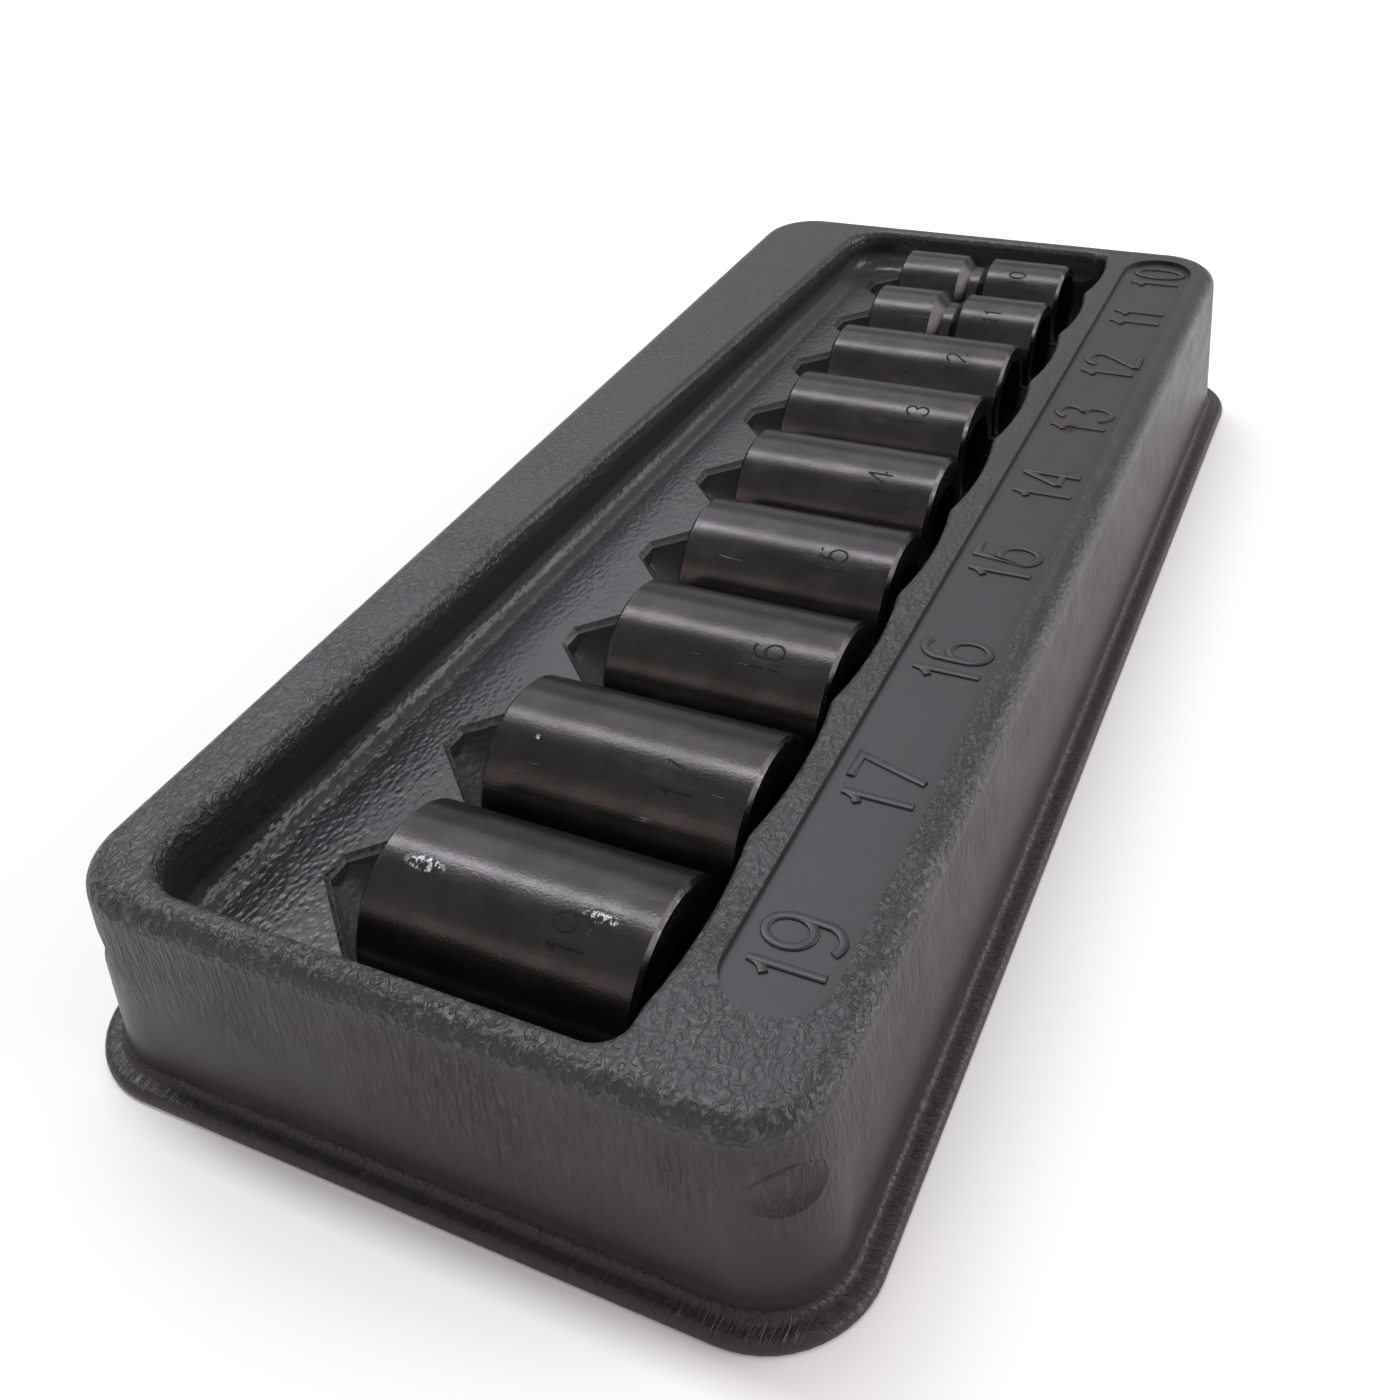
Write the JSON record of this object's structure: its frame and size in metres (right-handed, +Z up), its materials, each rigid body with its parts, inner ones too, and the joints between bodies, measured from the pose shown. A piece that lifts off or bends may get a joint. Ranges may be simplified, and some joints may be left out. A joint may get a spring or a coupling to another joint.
{
  "type": "socket organizer tray",
  "caption": "Formed plastic tray with a finger shelf, a recessed label strip and impact sockets that lift out of their cradles.",
  "frame": {"origin": "centre of the foot's outline, on the surface that the tray stands on", "axes": "+X along the tray from the largest socket to the smallest, +Y towards the finger shelf, +Z up"},
  "size_m": [0.27, 0.1218, 0.0345],
  "materials": {
    "tray_plastic": "grained black sheet, semi-gloss",
    "socket_steel": "black phosphate, satin"
  },
  "bodies": {
    "tray": {"tray": "tray_plastic"},
    "socket_19": {"socket_19": "socket_steel"},
    "socket_17": {"socket_17": "socket_steel"},
    "socket_16": {"socket_16": "socket_steel"},
    "socket_15": {"socket_15": "socket_steel"},
    "socket_14": {"socket_14": "socket_steel"},
    "socket_13": {"socket_13": "socket_steel"},
    "socket_12": {"socket_12": "socket_steel"},
    "socket_11": {"socket_11": "socket_steel"},
    "socket_10": {"socket_10": "socket_steel"}
  },
  "joints": [
    {"name": "lift_19", "type": "slide", "parent": "tray", "child": "socket_19", "axis": [0, 0, 1], "range_m": [0, 0.04]},
    {"name": "lift_17", "type": "slide", "parent": "tray", "child": "socket_17", "axis": [0, 0, 1], "range_m": [0, 0.04]},
    {"name": "lift_16", "type": "slide", "parent": "tray", "child": "socket_16", "axis": [0, 0, 1], "range_m": [0, 0.04]},
    {"name": "lift_15", "type": "slide", "parent": "tray", "child": "socket_15", "axis": [0, 0, 1], "range_m": [0, 0.04]},
    {"name": "lift_14", "type": "slide", "parent": "tray", "child": "socket_14", "axis": [0, 0, 1], "range_m": [0, 0.04]},
    {"name": "lift_13", "type": "slide", "parent": "tray", "child": "socket_13", "axis": [0, 0, 1], "range_m": [0, 0.04]},
    {"name": "lift_12", "type": "slide", "parent": "tray", "child": "socket_12", "axis": [0, 0, 1], "range_m": [0, 0.04]},
    {"name": "lift_11", "type": "slide", "parent": "tray", "child": "socket_11", "axis": [0, 0, 1], "range_m": [0, 0.04]},
    {"name": "lift_10", "type": "slide", "parent": "tray", "child": "socket_10", "axis": [0, 0, 1], "range_m": [0, 0.04]}
  ]
}
